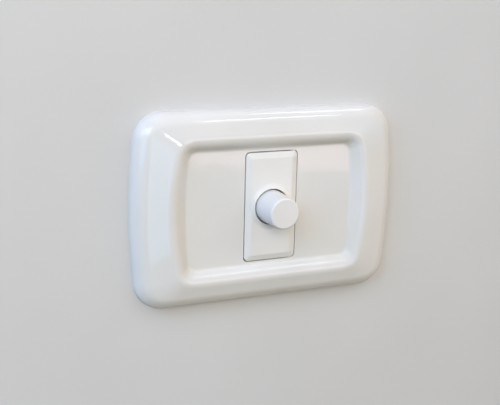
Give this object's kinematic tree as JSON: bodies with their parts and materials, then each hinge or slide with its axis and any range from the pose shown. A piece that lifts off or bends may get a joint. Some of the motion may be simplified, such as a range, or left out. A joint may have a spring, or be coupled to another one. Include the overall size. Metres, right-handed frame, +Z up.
{
  "type": "wall dimmer switch",
  "caption": "Wall dimmer: dished glossy cover plate on a mounting frame, with a module that has a tall knob to turn and press.",
  "frame": {"origin": "the wall plane on the knob's axis, midway between the two box screws", "axes": "+X along the plate, +Z up, -Y out of the wall towards the room, +Y into the wall box"},
  "size_m": [0.1164, 0.054, 0.0796],
  "materials": {
    "plate_plastic": "moulded glossy white ABS",
    "module_plastic": "moulded satin white plastic",
    "knob_plastic": "moulded satin white plastic",
    "frame_plastic": "glass-filled grey plastic",
    "housing_plastic": "matt off-white plastic",
    "zinc_steel": "zinc plated steel",
    "aluminium": "mill finish sheet",
    "brass": "turned brass",
    "nylon": "natural moulded nylon",
    "wafer": "phenolic paper laminate",
    "bronze": "phosphor bronze spring strip",
    "board": "glass-epoxy laminate with solder mask",
    "package": "black moulding compound",
    "ferrite": "sintered ferrite",
    "enamelled_wire": "copper wire with enamel",
    "capacitor_box": "yellow plastic box",
    "resistor_lacquer": "beige lacquer",
    "diode_glass": "blue glass",
    "fuse_glass": "clear glass"
  },
  "bodies": {
    "wall_unit": {"cover_plate": "plate_plastic", "mounting_frame": "frame_plastic", "box_screw_left": "zinc_steel", "box_screw_right": "zinc_steel", "module_front": "module_plastic", "module_housing": "housing_plastic", "control_bushing": "zinc_steel", "lock_washer": "zinc_steel", "control_nut": "zinc_steel", "heat_sink": "aluminium", "control_case": "zinc_steel", "resistance_track": "wafer", "track_pin_1": "bronze", "track_pin_2": "bronze", "track_pin_3": "bronze", "switch_case": "package", "switch_pin_left": "bronze", "switch_pin_right": "bronze", "return_spring": "zinc_steel", "circuit_board": "board", "triac": "package", "triac_screw": "zinc_steel", "choke_core": "ferrite", "choke_winding": "enamelled_wire", "suppression_capacitor": "capacitor_box", "timing_capacitor": "capacitor_box", "resistor_1": "resistor_lacquer", "resistor_2": "resistor_lacquer", "diac": "diode_glass", "fuse_tube": "fuse_glass", "fuse_wire": "zinc_steel", "fuse_cap_lower": "zinc_steel", "fuse_cap_upper": "zinc_steel", "fuse_clip_lower": "bronze", "fuse_clip_upper": "bronze", "terminal_block_1": "brass", "terminal_block_2": "brass", "terminal_block_3": "brass", "terminal_screw_1": "zinc_steel", "terminal_screw_2": "zinc_steel", "terminal_screw_3": "zinc_steel"},
    "push_slider": {"switch_plunger": "nylon", "contact_bridge": "bronze"},
    "knob_and_shaft": {"dimmer_knob": "knob_plastic", "control_shaft": "aluminium"},
    "wiper": {"wiper_rotor": "nylon", "wiper_contact": "bronze"}
  },
  "joints": [
    {"name": "knob_push", "type": "slide", "parent": "wall_unit", "child": "push_slider", "axis": [0, 1, 0], "range_m": [0, 0.0012], "stiffness_N_per_m": 800, "springref_m": -0.001, "deforming": ["return_spring"]},
    {"name": "knob_turn", "type": "hinge", "parent": "push_slider", "child": "knob_and_shaft", "pos_m": [0, 0, 0], "axis": [0, 1, 0], "range_deg": [-135, 135]},
    {"name": "wiper_turn", "type": "hinge", "parent": "wall_unit", "child": "wiper", "pos_m": [0, 0, 0], "axis": [0, 1, 0], "range_deg": [-135, 135]}
  ],
  "couplings": [
    {"joint": "wiper_turn", "follows": "knob_turn", "ratio": 1}
  ]
}
